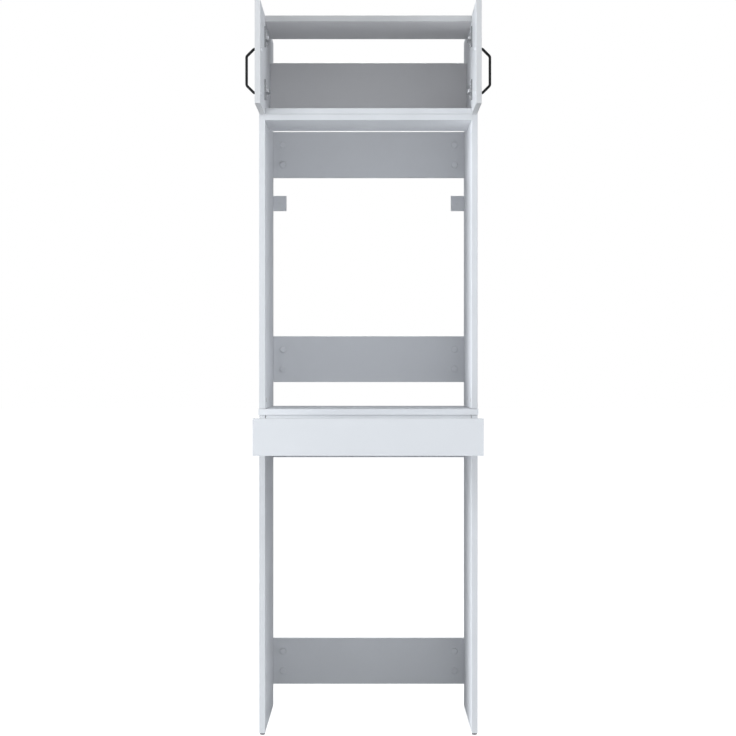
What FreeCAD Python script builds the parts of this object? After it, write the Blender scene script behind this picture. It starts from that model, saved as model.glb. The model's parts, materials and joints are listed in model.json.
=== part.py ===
import FreeCAD, Part
import os
import re

import Sketcher

# Tall frame unit that stands over a washing machine: a drawer under the worktop, an open niche, and
# a compartment with two doors at the top. It is shown as it is used, doors open and drawer pulled out.
# Millimetres. +Z is up, the front faces -Y, and the origin lies on the floor, in the middle of the
# outline that the unit has with its drawer pulled out. Left-hand pieces are drawn, right-hand ones mirrored.

SIZES = {
    # carcass boards
    "width": 660,
    "depth": 650,
    "height": 2175,
    "board": 18,
    "lower_side": 962,
    "worktop_overhang": 2.5,
    "front_rail_depth": 80,
    "front_rail_setback": 2,
    "cabinet_depth": 415,
    "niche_top_depth": 358,
    "compartment": 262,
    "back_height": 184,
    "rail_height": 150,
    "bottom_rail_rise": 77,
    "splash_rail_gap": 78,
    "upper_rail_drop": 13,
    "cleat_width": 43,
    "cleat_height": 49,
    "cleat_drop": 59,
    "wall_hole": 5,
    "glide_height": 6,
    "glide_diameter": 16,
    "glide_setback": 20,
    # cam fittings that draw the boards together
    "cam_diameter": 15,
    "cam_length": 12.5,
    "cam_sink": 1,
    "cam_inset": 32,
    "cam_pitch": 64,
    "cap_diameter": 21,
    "cap_thick": 4,
    "bolt_diameter": 7,
    "bolt_bite": 11,
    "drill_gap": 0.1,
    "side_cam_rise": 27,
    "side_cam_front": 100,
    "side_cam_back": 355,
    # wooden dowels that place the boards
    "dowel_diameter": 8,
    "dowel_length": 30,
    "dowel_bite": 11,
    "dowel_inset": 50,
    "front_dowel_inset": 16,
    "cleat_dowel_pitch": 28,
    "drawer_dowel_pitch": 30,
    # doors and their concealed hinges
    "door_board": 16,
    "door_split": 3,
    "door_lap": 2,
    "swing_gap": 0.45,
    "hinge_low": 72,
    "hinge_high": 69,
    "pivot_cover": 5,
    "pin_diameter": 2.5,
    "pin_length": 18,
    "pin_seat": 0.02,
    "pin_play": 0.05,
    "eye_diameter": 4.6,
    "arm_thick": 2,
    "arm_width": 10,
    "arm_rise": 8,
    "arm_end": 62,
    "arm_bend": 1.5,
    "arm_gap": 0.3,
    "cup_diameter": 35,
    "cup_edge": 3,
    "cup_floor": 0.6,
    "flange_thick": 3,
    "flange_length": 62,
    "flange_width": 18,
    "flange_corner": 5,
    "flange_offset": 9.5,
    "plate_thick": 4,
    "plate_length": 40,
    "plate_width": 16,
    "wing_length": 44,
    "wing_width": 14,
    # bow handles
    "handle_spacing": 128,
    "handle_foot": 9,
    "handle_foot_rise": 4,
    "handle_reach": 29,
    "handle_bar": 7,
    "handle_width": 10,
    "handle_bend": 6,
    "handle_inset": 45,
    "handle_rise": 98,
    "screw_diameter": 4,
    "screw_bite": 6,
    "screw_head": 8.5,
    "screw_head_thick": 2.6,
    # drawer
    "drawer_pull": 402,
    "drawer_gap": 2,
    "drawer_clear": 2,
    "drawer_front_height": 107,
    "drawer_length": 460,
    "drawer_box_rise": 11,
    "drawer_box_clear": 6,
    "drawer_board": 15,
    "bottom_thick": 3,
    "groove_depth": 6,
    "groove_rise": 10,
    # telescopic slides
    "slide_length": 450,
    "slide_setback": 2,
    "slide_height": 45,
    "slide_thick": 12.7,
    "slide_steel": 1.2,
    "slide_gap": 0.3,
    "slide_reach": 9.5,
    "slide_lip": 3,
    "slide_middle_lip": 5,
}

# Places and sizes that follow from the ones above.
PLACES = {
    "inner": "width - 2 * board",
    "front": "(drawer_pull + drawer_gap + board - depth) / 2",
    "back": "front + depth",
    "worktop_z": "glide_height + lower_side",
    "niche_z": "worktop_z + board",
    "front_rail_y": "front + front_rail_setback",
    "front_rail_z": "worktop_z - board",
    "floor_z": "height - 2 * board - compartment",
    "upper_rail_z": "floor_z + board - upper_rail_drop - rail_height",
    "cleat_z": "upper_rail_z - cleat_drop - cleat_height",
    "cam_bore": "cam_diameter + 2 * drill_gap",
    "cam_bore_depth": "cam_sink + cam_length",
    "bolt_bore": "bolt_diameter + 2 * drill_gap",
    "cam_neck": "cam_diameter / 2 + drill_gap",
    "dowel_bore": "dowel_diameter + 2 * drill_gap",
    "dowel_tail": "dowel_length - dowel_bite",
    "door_width": "(width - door_split) / 2",
    "door_height": "2 * board + compartment + door_lap",
    "door_z": "height - door_height",
    # The pivot lies where the open door's inner face is flush with the inner face of the side, and the
    # closed door's edge with the outer face. The gap behind the closed door lets its corner turn past.
    "pivot_stand": "door_board - pivot_cover",
    "pivot_inset": "board - pivot_stand",
    "door_gap": "sqrt(pivot_inset ^ 2 + pivot_stand ^ 2) - pivot_stand + swing_gap",
    "pivot_x": "pivot_inset - width / 2",
    "pivot_y": "front - door_gap - pivot_stand",
    "door_tip": "pivot_y + pivot_inset - door_width",
    "door_face": "-inner / 2 - door_board",
    "cup_offset": "cup_edge + cup_diameter / 2 - pivot_inset",
    "cup_y": "pivot_y - cup_offset",
    "hinge_low_z": "door_z + hinge_low",
    "hinge_high_z": "height - hinge_high",
    "elbow": "pivot_stand + plate_thick",
    "arm_reach": "arm_end + front - pivot_y",
    "cavity_depth": "pivot_stand + eye_diameter / 2 + arm_gap",
    "cavity_near": "cup_offset + eye_diameter / 2 + arm_gap",
    "cavity_far": "sqrt((elbow + arm_rise) ^ 2 + (arm_thick / 2) ^ 2) + arm_gap - cup_offset",
    "cup_depth": "cavity_depth + cup_floor",
    "screw_bore": "screw_diameter + 2 * drill_gap",
    "handle_y": "door_tip + handle_inset",
    "handle_z": "door_z + handle_rise",
    "handle_end": "(handle_spacing + handle_foot) / 2",
    "handle_slope": "handle_end + handle_foot_rise",
    "handle_inner_slope": "handle_slope - sqrt(2) * handle_bar",
    "drawer_y": "front - drawer_gap - drawer_pull",
    "drawer_z": "worktop_z - drawer_clear - drawer_front_height",
    "drawer_half": "inner / 2 - slide_thick",
    "box_z": "drawer_z + drawer_box_rise",
    "drawer_side_height": "front_rail_z - drawer_box_clear - box_z",
    "bottom_z": "box_z + groove_rise",
    "bottom_half": "drawer_half - drawer_board + groove_depth",
    "slide_end": "front + slide_setback + slide_length",
    "slide_z": "box_z + drawer_side_height / 2",
    "outer_half": "slide_height / 2",
    "middle_half": "outer_half - slide_steel - slide_gap",
    "middle_web": "slide_steel + slide_gap",
    "middle_reach": "slide_reach - slide_steel - slide_gap",
    "inner_half": "middle_half - slide_middle_lip - slide_gap",
    "hook_start": "middle_reach - 2 * slide_steel - slide_gap",
    "hook_half": "middle_half - slide_steel - slide_gap",
}

RAILS = {
    "bottom_rail": "bottom_rail_rise",
    "drawer_rail": "worktop_z - rail_height",
    "splash_rail": "niche_z + splash_rail_gap",
    "upper_rail": "upper_rail_z",
}
LOWER_RAILS = ("bottom_rail", "drawer_rail")
UPPER_RAILS = ("splash_rail", "upper_rail")
SIDE_CAMS = ("side_cam_front", "side_cam_back")
LOWER_SHELVES = ("front_rail",)
UPPER_SHELVES = ("top_panel", "cabinet_floor", "niche_top", "cabinet_back", "wall_cleat")

# Depth and height of the dowels at each end of the boards that stand between the sides.
SHELF_DOWELS = {
    "front_rail": [
        ("front_rail_y + front_dowel_inset", "worktop_z - board / 2"),
        ("front_rail_y + front_rail_depth - front_dowel_inset", "worktop_z - board / 2"),
    ],
    "top_panel": [
        ("front + dowel_inset", "height - board / 2"),
        ("front + cabinet_depth - dowel_inset", "height - board / 2"),
    ],
    "cabinet_floor": [
        ("front + dowel_inset", "floor_z + board / 2"),
        ("front + cabinet_depth - dowel_inset", "floor_z + board / 2"),
    ],
    "niche_top": [
        ("front + dowel_inset", "floor_z - board / 2"),
        ("front + niche_top_depth - dowel_inset", "floor_z - board / 2"),
    ],
    "cabinet_back": [
        ("front + cabinet_depth - board / 2", "floor_z + board + dowel_inset"),
        ("front + cabinet_depth - board / 2", "floor_z + board + back_height - dowel_inset"),
    ],
    "wall_cleat": [
        ("back - board / 2", "cleat_z + (cleat_height - cleat_dowel_pitch) / 2"),
        ("back - board / 2", "cleat_z + (cleat_height + cleat_dowel_pitch) / 2"),
    ],
}
LEG_DOWELS = ("front + dowel_inset", "back - dowel_inset")
DRAWER_DOWELS = (
    "box_z + (drawer_side_height - drawer_dowel_pitch) / 2",
    "box_z + (drawer_side_height + drawer_dowel_pitch) / 2",
)

# The many small fittings are drawn as many-sided rods.
CAM_SIDES = 12
BOLT_SIDES = 8

HINGES = ("hinge_low_z", "hinge_high_z")

ALONG = {
    "x": FreeCAD.Rotation(FreeCAD.Vector(0, 1, 0), 90),
    "y": FreeCAD.Rotation(FreeCAD.Vector(1, 0, 0), -90),
    "z": FreeCAD.Rotation(),
}

SAME_POINT = 0.001

doc = FreeCAD.newDocument("washing_machine_cabinet")
sheet = doc.addObject("Spreadsheet::Sheet", "sizes")
for row, (size, value) in enumerate(SIZES.items(), start=1):
    sheet.set(f"A{row}", size)
    sheet.set(f"B{row}", str(value))
    sheet.setAlias(f"B{row}", size)
doc.recompute()

pieces = []


def formula(text):
    """Writes a formula of named sizes and places as an expression on the sheet's cells."""

    def cell(match):
        name = match.group(0)
        if name in PLACES:
            return f"({formula(PLACES[name])})"
        return f"sizes.{name}" if name in SIZES else name

    return re.sub(r"[a-z_]+", cell, text)


def bind(item, **formulas):
    for name, text in formulas.items():
        item.setExpression(name, formula(text))


def point(item, texts):
    """The point that two or three formulas give at the sizes in the sheet."""
    return FreeCAD.Vector(*(float(item.evalExpression(formula(text))) for text in texts))


def put(item, x, y, z):
    for axis, text in zip("xyz", (x, y, z)):
        item.setExpression(f"Placement.Base.{axis}", formula(text))


def keep(item, name):
    """Makes a finished object one of the cabinet's named pieces."""
    item.Label = name
    pieces.append(item)
    return item


def board(size, corner):
    """A square-cut board, or a square-cut tool, from its lowest corner."""
    box = doc.addObject("Part::Box", "board")
    bind(box, Length=size[0], Width=size[1], Height=size[2])
    put(box, *corner)
    return box


def rod(diameter, length, start, axis):
    """A round rod, or a drill, from the middle of its first end along +axis."""
    cylinder = doc.addObject("Part::Cylinder", "rod")
    bind(cylinder, Radius=f"({diameter}) / 2", Height=length)
    cylinder.Placement = FreeCAD.Placement(FreeCAD.Vector(), ALONG[axis])
    put(cylinder, *start)
    return cylinder


def peg(sides, diameter, length, start, axis):
    """A many-sided rod, or the hole for one."""
    prism = doc.addObject("Part::Prism", "peg")
    prism.Polygon = sides
    bind(prism, Circumradius=f"({diameter}) / 2", Height=length)
    prism.Placement = FreeCAD.Placement(FreeCAD.Vector(), ALONG[axis])
    put(prism, *start)
    return prism


def group(items):
    compound = doc.addObject("Part::Compound", "group")
    compound.Links = items
    return compound


def cut(blank, *tools):
    for tool in tools:
        result = doc.addObject("Part::Cut", "cut")
        result.Base = blank
        result.Tool = tool
        blank = result
    return blank


def mirrored(source):
    """The right-hand twin of a left-hand piece."""
    twin = doc.addObject("Part::Mirroring", "mirrored")
    twin.Source = source
    twin.Normal = FreeCAD.Vector(1, 0, 0)
    return twin


def both_sides(items):
    return group(items + [mirrored(item) for item in items])


def keep_pair(item, name):
    keep(item, f"left_{name}")
    keep(mirrored(item), f"right_{name}")


def new_sketch(body, plane):
    sketch = body.newObject("Sketcher::SketchObject", "sketch")
    support = next(item for item in body.Origin.OriginFeatures if item.Role == plane)
    sketch.AttachmentSupport = (support, [""])
    sketch.MapMode = "FlatFace"
    return sketch


def fix_point(sketch, geometry, end, spot):
    """Holds a point of the sketch at the named distances from its origin."""
    for kind, text in zip(("DistanceX", "DistanceY"), spot):
        value = float(sketch.evalExpression(formula(text)))
        index = sketch.addConstraint(Sketcher.Constraint(kind, -1, 1, geometry, end, value))
        sketch.setExpression(f"Constraints[{index}]", formula(text))


def outline(body, plane, points):
    """A closed outline of straight lines through points that are given as pairs of formulas."""
    sketch = new_sketch(body, plane)
    spots = [point(sketch, texts) for texts in points]
    for index, spot in enumerate(spots):
        sketch.addGeometry(Part.LineSegment(spot, spots[(index + 1) % len(spots)]))
    for index, texts in enumerate(points):
        after = (index + 1) % len(points)
        sketch.addConstraint(Sketcher.Constraint("Coincident", index, 2, after, 1))
        fix_point(sketch, index, 1, texts)
    return sketch


def circles(body, plane, diameter, centres):
    sketch = new_sketch(body, plane)
    radius = formula(f"({diameter}) / 2")
    value = float(sketch.evalExpression(radius))
    for index, centre in enumerate(centres):
        sketch.addGeometry(Part.Circle(point(sketch, centre), FreeCAD.Vector(0, 0, 1), value))
        fix_point(sketch, index, 3, centre)
        constraint = sketch.addConstraint(Sketcher.Constraint("Radius", index, value))
        sketch.setExpression(f"Constraints[{constraint}]", radius)
    return sketch


def pad(body, sketch, length, way="One side", reverse=False):
    feature = body.newObject("PartDesign::Pad", "pad")
    feature.Profile = sketch
    feature.SideType = way
    feature.Reversed = reverse
    bind(feature, Length=length)
    return feature


def pocket(body, sketch, length, way="One side"):
    """Cuts a pocket, and makes sure that it took something away."""
    doc.recompute()
    before = body.Shape.Volume
    feature = body.newObject("PartDesign::Pocket", "pocket")
    feature.Profile = sketch
    feature.SideType = way
    bind(feature, Length=length)
    doc.recompute()
    if body.Shape.Volume >= before:
        raise RuntimeError(f"a pocket in {body.Label} cuts nothing")
    return feature


def round_edges(body, base, middles, radius):
    """Rounds the edges that have their middles at the named points."""
    doc.recompute()
    spots = [point(body, middle) for middle in middles]
    names = []
    for index, edge in enumerate(base.Shape.Edges, start=1):
        if any(edge.CenterOfMass.isEqual(spot, SAME_POINT) for spot in spots):
            names.append(f"Edge{index}")
    if len(names) != len(middles):
        raise RuntimeError(f"{body.Label} has {len(names)} of the {len(middles)} edges to round")
    feature = body.newObject("PartDesign::Fillet", "round")
    feature.Base = (base, names)
    bind(feature, Radius=radius)
    return feature


def carcass_boards():
    lower = board(("board", "depth", "lower_side"), ("-width / 2", "front", "glide_height"))
    leg_bores = group([leg_dowel(y, "dowel_bore", "dowel_tail + drill_gap", "0") for y in LEG_DOWELS])
    holes = group(bolt_holes(LOWER_RAILS) + side_bores(LOWER_SHELVES))
    keep_pair(cut(lower, holes, leg_bores), "lower_side")

    upper = board(("board", "depth", "height - niche_z"), ("-width / 2", "front", "niche_z"))
    cam_bores = group([side_cam(spot, "cam_bore", "cam_bore_depth") for spot in SIDE_CAMS])
    neck_bores = group([side_bolt(spot, "bolt_bore", "0", "side_cam_rise") for spot in SIDE_CAMS])
    holes = group(bolt_holes(UPPER_RAILS) + side_bores(UPPER_SHELVES))
    keep_pair(cut(upper, holes, cam_bores, neck_bores), "upper_side")

    top = board(
        ("width + 2 * worktop_overhang", "depth + worktop_overhang", "board"),
        ("-width / 2 - worktop_overhang", "front - worktop_overhang", "worktop_z"),
    )
    bite = "bolt_bite + drill_gap"
    thread_holes = both_sides([side_bolt(spot, "bolt_bore", bite, bite) for spot in SIDE_CAMS])
    leg_holes = both_sides([leg_dowel(y, "dowel_bore", "0", "dowel_bite + drill_gap") for y in LEG_DOWELS])
    keep(cut(top, thread_holes, leg_holes), "worktop")

    keep_shelf("front_rail", ("inner", "front_rail_depth", "board"), "front_rail_y", "front_rail_z")
    shelf = ("inner", "cabinet_depth", "board")
    keep_shelf("top_panel", shelf, "front", "height - board")
    keep_shelf("cabinet_floor", shelf, "front", "floor_z")
    keep_shelf("niche_top", ("inner", "niche_top_depth", "board"), "front", "floor_z - board")
    upright = ("inner", "board", "back_height")
    keep_shelf("cabinet_back", upright, "front + cabinet_depth - board", "floor_z + board")


def keep_shelf(name, size, y, z):
    """A board between the sides, with dowel holes in both ends."""
    keep(cut(board(size, ("-inner / 2", y, z)), both_sides(shelf_bores(name))), name)


def shelf_bores(name):
    """Dowel holes in the left end of a board between the sides."""
    return [shelf_dowel(spot, "dowel_bore", "0", "dowel_tail + drill_gap") for spot in SHELF_DOWELS[name]]


def side_bores(names):
    """Dowel holes in the left side for the ends of the named boards."""
    spots = [spot for name in names for spot in SHELF_DOWELS[name]]
    return [shelf_dowel(spot, "dowel_bore", "dowel_bite + drill_gap", "0") for spot in spots]


def shelf_dowel(spot, diameter, bite, tail):
    """A dowel, or its hole, that reaches from bite inside the left side to tail inside the shelf's end."""
    return peg(BOLT_SIDES, diameter, f"{bite} + {tail}", (f"-inner / 2 - ({bite})", *spot), "x")


def leg_dowel(y, diameter, tail, bite):
    """An upright dowel, or its hole, from tail inside the lower side to bite inside the worktop."""
    start = ("(board - width) / 2", y, f"worktop_z - ({tail})")
    return peg(BOLT_SIDES, diameter, f"{tail} + {bite}", start, "z")


def carcass_dowels():
    dowels = [leg_dowel(y, "dowel_diameter", "dowel_tail", "dowel_bite") for y in LEG_DOWELS]
    for spots in SHELF_DOWELS.values():
        dowels += [shelf_dowel(spot, "dowel_diameter", "dowel_bite", "dowel_tail") for spot in spots]
    keep(both_sides(dowels), "carcass_dowels")


def rail_cam_heights(rails):
    """Height of each cam at one end of the given rails."""
    middles = [f"{RAILS[name]} + rail_height / 2" for name in rails]
    return [f"{middle} {sign} cam_pitch / 2" for middle in middles for sign in "-+"]


def bolt_holes(rails):
    """Holes in a side panel that take the threads of the rails' bolts."""
    depth = "bolt_bite + drill_gap"
    return [
        peg(BOLT_SIDES, "bolt_bore", depth, (f"-inner / 2 - ({depth})", "back - board / 2", z), "x")
        for z in rail_cam_heights(rails)
    ]


def rail_cam(z, diameter, sink, length):
    """A cam, its bore or its cap: a disc on the cam's line, from sink below the rail's front face."""
    return peg(CAM_SIDES, diameter, length, ("-inner / 2 + cam_inset", f"back - board + {sink}", z), "y")


def back_rails():
    for name, rise in RAILS.items():
        blank = board(("inner", "board", "rail_height"), ("-inner / 2", "back - board", rise))
        heights = rail_cam_heights([name])
        cam_bores = both_sides([rail_cam(z, "cam_bore", "0", "cam_bore_depth") for z in heights])
        start = ("-inner / 2", "back - board / 2")
        necks = [peg(BOLT_SIDES, "bolt_bore", "cam_inset", (*start, z), "x") for z in heights]
        keep(cut(blank, cam_bores, both_sides(necks)), name)


def rail_fittings():
    heights = rail_cam_heights(RAILS)
    keep(both_sides([rail_cam(z, "cam_diameter", "cam_sink", "cam_length") for z in heights]), "rail_cams")
    keep(both_sides([rail_cam(z, "cap_diameter", "0 - cap_thick", "cap_thick") for z in heights]), "cam_caps")
    length = "bolt_bite + cam_inset - cam_neck"
    start = ("-inner / 2 - bolt_bite", "back - board / 2")
    bolts = [peg(BOLT_SIDES, "bolt_diameter", length, (*start, z), "x") for z in heights]
    keep(both_sides(bolts), "rail_bolts")


def side_cam(spot, diameter, length):
    """A cam, or its bore, in the inner face of the left upper side."""
    start = ("-inner / 2 - cam_bore_depth", f"front + {spot}", "niche_z + side_cam_rise")
    return peg(CAM_SIDES, diameter, length, start, "x")


def side_bolt(spot, diameter, bite, length):
    """An upright bolt of the left upper side, or its hole, from bite below the worktop's top."""
    start = ("(board - width) / 2", f"front + {spot}", f"niche_z - ({bite})")
    return peg(BOLT_SIDES, diameter, length, start, "z")


def worktop_fittings():
    keep(both_sides([side_cam(spot, "cam_diameter", "cam_length") for spot in SIDE_CAMS]), "worktop_cams")
    length = "bolt_bite + side_cam_rise - cam_neck"
    bolts = [side_bolt(spot, "bolt_diameter", "bolt_bite", length) for spot in SIDE_CAMS]
    keep(both_sides(bolts), "worktop_bolts")


def wall_cleats():
    blank = board(("cleat_width", "board", "cleat_height"), ("-inner / 2", "back - board", "cleat_z"))
    hole_start = ("(cleat_width - inner) / 2", "back - board", "cleat_z + cleat_height / 2")
    wall_hole = rod("wall_hole", "board", hole_start, "y")
    keep_pair(cut(blank, wall_hole, group(shelf_bores("wall_cleat"))), "wall_cleat")


def floor_glides():
    places = ("front + glide_setback", "back - glide_setback")
    size = ("glide_diameter", "glide_height")
    glides = [peg(CAM_SIDES, *size, ("(board - width) / 2", y, "0"), "z") for y in places]
    keep(both_sides(glides), "glides")


def hinge_cup(z):
    """Cup let into the door, with the flange that holds it, the cavity for the arm and the pin's seat."""
    body = doc.addObject("PartDesign::Body", "hinge_cup")
    put(body, "-inner / 2", "cup_y", z)
    pad(body, circles(body, "YZ_Plane", "cup_diameter", [("0", "0")]), "cup_depth", reverse=True)
    wide, tall = "flange_width / 2", "flange_length / 2"
    corners = []
    for side, end in (("-", "-"), ("", "-"), ("", ""), ("-", "")):
        narrow = (f"{side}({wide} - flange_corner) - flange_offset", f"{end}({tall})")
        short = (f"{side}({wide}) - flange_offset", f"{end}({tall} - flange_corner)")
        corners += [short, narrow] if side == end else [narrow, short]
    pad(body, outline(body, "YZ_Plane", corners), "flange_thick")
    high = "arm_width / 2 + arm_gap"
    mouth = [("cavity_near", high), ("-cavity_far", high)]
    mouth += [(y, f"-({rise})") for y, rise in reversed(mouth)]
    cavity = outline(body, "YZ_Plane", mouth)
    cavity.setExpression("AttachmentOffset.Base.z", formula("flange_thick"))
    pocket(body, cavity, "flange_thick + cavity_depth")
    seat = circles(body, "XY_Plane", "pin_diameter + 2 * pin_seat", [("-pivot_stand", "cup_offset")])
    pocket(body, seat, "pin_length + 2 * drill_gap", way="Symmetric")
    return body


def hinge_arm(z):
    """Crank arm: an eye on the pin, a short leg out of the cup and a deep long leg back onto the plate."""
    body = doc.addObject("PartDesign::Body", "hinge_arm")
    put(body, "pivot_x", "pivot_y", z)
    half = "arm_thick / 2"
    far = "elbow + arm_rise"
    crank = [("0", f"-{half}"), (far, f"-{half}"), (far, "arm_reach")]
    crank += [("elbow", "arm_reach"), ("elbow", half), ("0", half)]
    strip = pad(body, outline(body, "XY_Plane", crank), "arm_width", way="Symmetric")
    strip = round_edges(body, strip, [(far, f"-{half}", "0")], "arm_bend + arm_thick")
    round_edges(body, strip, [("elbow", half, "0")], "arm_bend")
    pad(body, circles(body, "XY_Plane", "eye_diameter", [("0", "0")]), "arm_width", way="Symmetric")
    bore = circles(body, "XY_Plane", "pin_diameter + 2 * pin_play", [("0", "0")])
    pocket(body, bore, "2 * arm_width", way="Symmetric")
    return body


def hinge_plate(z):
    """Cross-shaped mounting plate on the side panel, under the arm's long leg."""
    body = doc.addObject("PartDesign::Body", "hinge_plate")
    put(body, "-inner / 2", "front + arm_end - plate_length / 2", z)
    long, wing = "plate_length / 2", "wing_width / 2"
    low, high = "plate_width / 2", "wing_length / 2"
    quarter = [(long, low), (wing, low), (wing, high)]
    half = quarter + [(f"-{y}", rise) for y, rise in reversed(quarter)]
    cross = half + [(y, f"-{rise}") for y, rise in reversed(half)]
    pad(body, outline(body, "YZ_Plane", cross), "plate_thick")
    return body


def hinge_pin(z):
    return rod("pin_diameter", "pin_length", ("pivot_x", "pivot_y", f"{z} - pin_length / 2"), "z")


def keep_pair_of_groups(items, name):
    keep(group(items), f"left_{name}")
    keep(group([mirrored(item) for item in items]), f"right_{name}")


def hinges():
    keep(both_sides([hinge_plate(z) for z in HINGES]), "hinge_plates")
    keep(both_sides([hinge_arm(z) for z in HINGES]), "hinge_arms")
    keep_pair_of_groups([hinge_cup(z) for z in HINGES], "hinge_cups")
    keep_pair_of_groups([hinge_pin(z) for z in HINGES], "hinge_pins")


def handle_screw_heights():
    return [f"handle_z {sign} handle_spacing / 2" for sign in "-+"]


def handle_screw(z, diameter, bite):
    """A handle screw's shank, or its hole, through the door and bite inside the handle's foot."""
    start = (f"door_face - ({bite})", "handle_y", z)
    return peg(BOLT_SIDES, diameter, f"door_board + {bite}", start, "x")


def doors():
    blank = board(("door_board", "door_width", "door_height"), ("door_face", "door_tip", "door_z"))
    depth = "cup_depth + drill_gap"
    start = (f"-inner / 2 - ({depth})", "cup_y")
    cup_bores = [rod("cup_diameter + 2 * drill_gap", depth, (*start, z), "x") for z in HINGES]
    screw_holes = [handle_screw(z, "screw_bore", "0") for z in handle_screw_heights()]
    keep_pair(cut(blank, group(cup_bores), group(screw_holes)), "door")


def handles():
    """Bow handle of flat bar: two feet square to the door, legs at 45 degrees and a straight grip."""
    body = doc.addObject("PartDesign::Body", "handle")
    put(body, "door_face", "handle_y", "handle_z")
    inner_foot = "handle_end - handle_foot"
    grip = "handle_reach - handle_bar"
    half = [
        ("0", inner_foot),
        ("0", "handle_end"),
        ("-handle_foot_rise", "handle_end"),
        ("-handle_reach", "handle_slope - handle_reach"),
    ]
    inside = [
        (f"-({grip})", f"handle_inner_slope - ({grip})"),
        (f"-(handle_inner_slope - ({inner_foot}))", inner_foot),
    ]
    below = [(x, f"-({z})") for x, z in half]
    bow = half + below[::-1] + [(x, f"-({z})") for x, z in inside[::-1]] + inside
    bar = pad(body, outline(body, "XZ_Plane", bow), "handle_width", way="Symmetric")
    outer_bends = [(x, "0", z) for x, z in (half[-1], below[-1])]
    inner_bends = [(x, "0", f"{sign}({z})") for x, z in inside[:1] for sign in ("", "-")]
    bar = round_edges(body, bar, outer_bends, "handle_bend + handle_bar")
    round_edges(body, bar, inner_bends, "handle_bend")
    threads = [handle_screw(z, "screw_bore", "screw_bite + drill_gap") for z in handle_screw_heights()]
    keep_pair(cut(body, group(threads)), "handle")


def handle_screws():
    screws = []
    for z in handle_screw_heights():
        screw = doc.addObject("Part::Fuse", "screw")
        screw.Base = handle_screw(z, "screw_diameter", "screw_bite")
        screw.Tool = peg(CAM_SIDES, "screw_head", "screw_head_thick", ("-inner / 2", "handle_y", z), "x")
        screws.append(screw)
    keep_pair_of_groups(screws, "handle_screws")


def front_dowel(z, diameter, bite, tail):
    """A dowel, or its hole, from bite inside the drawer front to tail inside the drawer's left side."""
    start = ("drawer_board / 2 - drawer_half", f"drawer_y - ({bite})", z)
    return peg(BOLT_SIDES, diameter, f"{bite} + {tail}", start, "y")


def drawer():
    groove_height = "bottom_thick + 2 * drill_gap"
    groove_z = "bottom_z - drill_gap"
    groove = "groove_depth + drill_gap"

    front = board(("width", "board", "drawer_front_height"), ("-width / 2", "drawer_y - board", "drawer_z"))
    front_groove = board(
        ("2 * bottom_half + 2 * drill_gap", groove, groove_height),
        ("-bottom_half - drill_gap", f"drawer_y - ({groove})", groove_z),
    )
    bores = [front_dowel(z, "dowel_bore", "dowel_bite + drill_gap", "0") for z in DRAWER_DOWELS]
    keep(cut(front, front_groove, both_sides(bores)), "drawer_front")

    side_size = ("drawer_board", "drawer_length", "drawer_side_height")
    side = board(side_size, ("-drawer_half", "drawer_y", "box_z"))
    side_groove = board(
        (groove, "drawer_length", groove_height),
        (f"drawer_board - drawer_half - ({groove})", "drawer_y", groove_z),
    )
    bores = [front_dowel(z, "dowel_bore", "0", "dowel_tail + drill_gap") for z in DRAWER_DOWELS]
    keep_pair(cut(side, side_groove, group(bores)), "drawer_side")
    dowels = [front_dowel(z, "dowel_diameter", "dowel_bite", "dowel_tail") for z in DRAWER_DOWELS]
    keep(both_sides(dowels), "drawer_dowels")

    inside = "drawer_half - drawer_board"
    keep(
        board(
            (f"2 * ({inside})", "drawer_board", "drawer_side_height - groove_rise - bottom_thick"),
            (f"-({inside})", "drawer_y + drawer_length - drawer_board", "bottom_z + bottom_thick"),
        ),
        "drawer_back",
    )
    keep(
        board(
            ("2 * bottom_half", "drawer_length + groove_depth", "bottom_thick"),
            ("-bottom_half", "drawer_y - groove_depth", "bottom_z"),
        ),
        "drawer_bottom",
    )


def channel(web, reach, half, lip):
    """A C-shaped rolled section with turned-in lips, its web on the cabinet's side."""
    steel = "slide_steel"
    quarter = [
        (f"{web} + {steel}", f"{half} - {steel}"),
        (f"{reach} - {steel}", f"{half} - {steel}"),
        (f"{reach} - {steel}", f"{half} - {lip}"),
        (reach, f"{half} - {lip}"),
        (reach, half),
        (web, half),
    ]
    return quarter + [(x, f"-({z})") for x, z in reversed(quarter)]


def hooked_channel():
    """The inner member's section: its web on the drawer, its edges hooked behind the middle member's lips."""
    quarter = [
        ("slide_thick - slide_steel", "inner_half - slide_steel"),
        ("hook_start", "inner_half - slide_steel"),
        ("hook_start", "hook_half"),
        ("hook_start + slide_steel", "hook_half"),
        ("hook_start + slide_steel", "inner_half"),
        ("slide_thick", "inner_half"),
    ]
    return quarter + [(x, f"-({z})") for x, z in reversed(quarter)]


def drawer_slides():
    outer = channel("0", "slide_reach", "outer_half", "slide_lip")
    middle = channel("middle_web", "middle_reach", "middle_half", "slide_middle_lip")
    members = {
        "slide_outer": (outer, "0"),
        "slide_middle": (middle, "drawer_pull / 2"),
        "slide_inner": (hooked_channel(), "drawer_pull"),
    }
    for name, (section, travel) in members.items():
        body = doc.addObject("PartDesign::Body", name)
        put(body, "-inner / 2", f"slide_end - {travel}", "slide_z")
        pad(body, outline(body, "XZ_Plane", section), "slide_length")
        keep_pair(body, name)


carcass_boards()
back_rails()
rail_fittings()
worktop_fittings()
carcass_dowels()
wall_cleats()
floor_glides()
hinges()
doors()
handles()
handle_screws()
drawer()
drawer_slides()
doc.recompute()

for item in doc.Objects:
    if "Invalid" in item.State or "Error" in item.State:
        raise RuntimeError(f"{item.Label} failed: {item.State}")
for piece in pieces:
    if piece.Shape.isNull() or not piece.Shape.isValid():
        raise RuntimeError(f"{piece.Label} has no valid shape")

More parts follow.
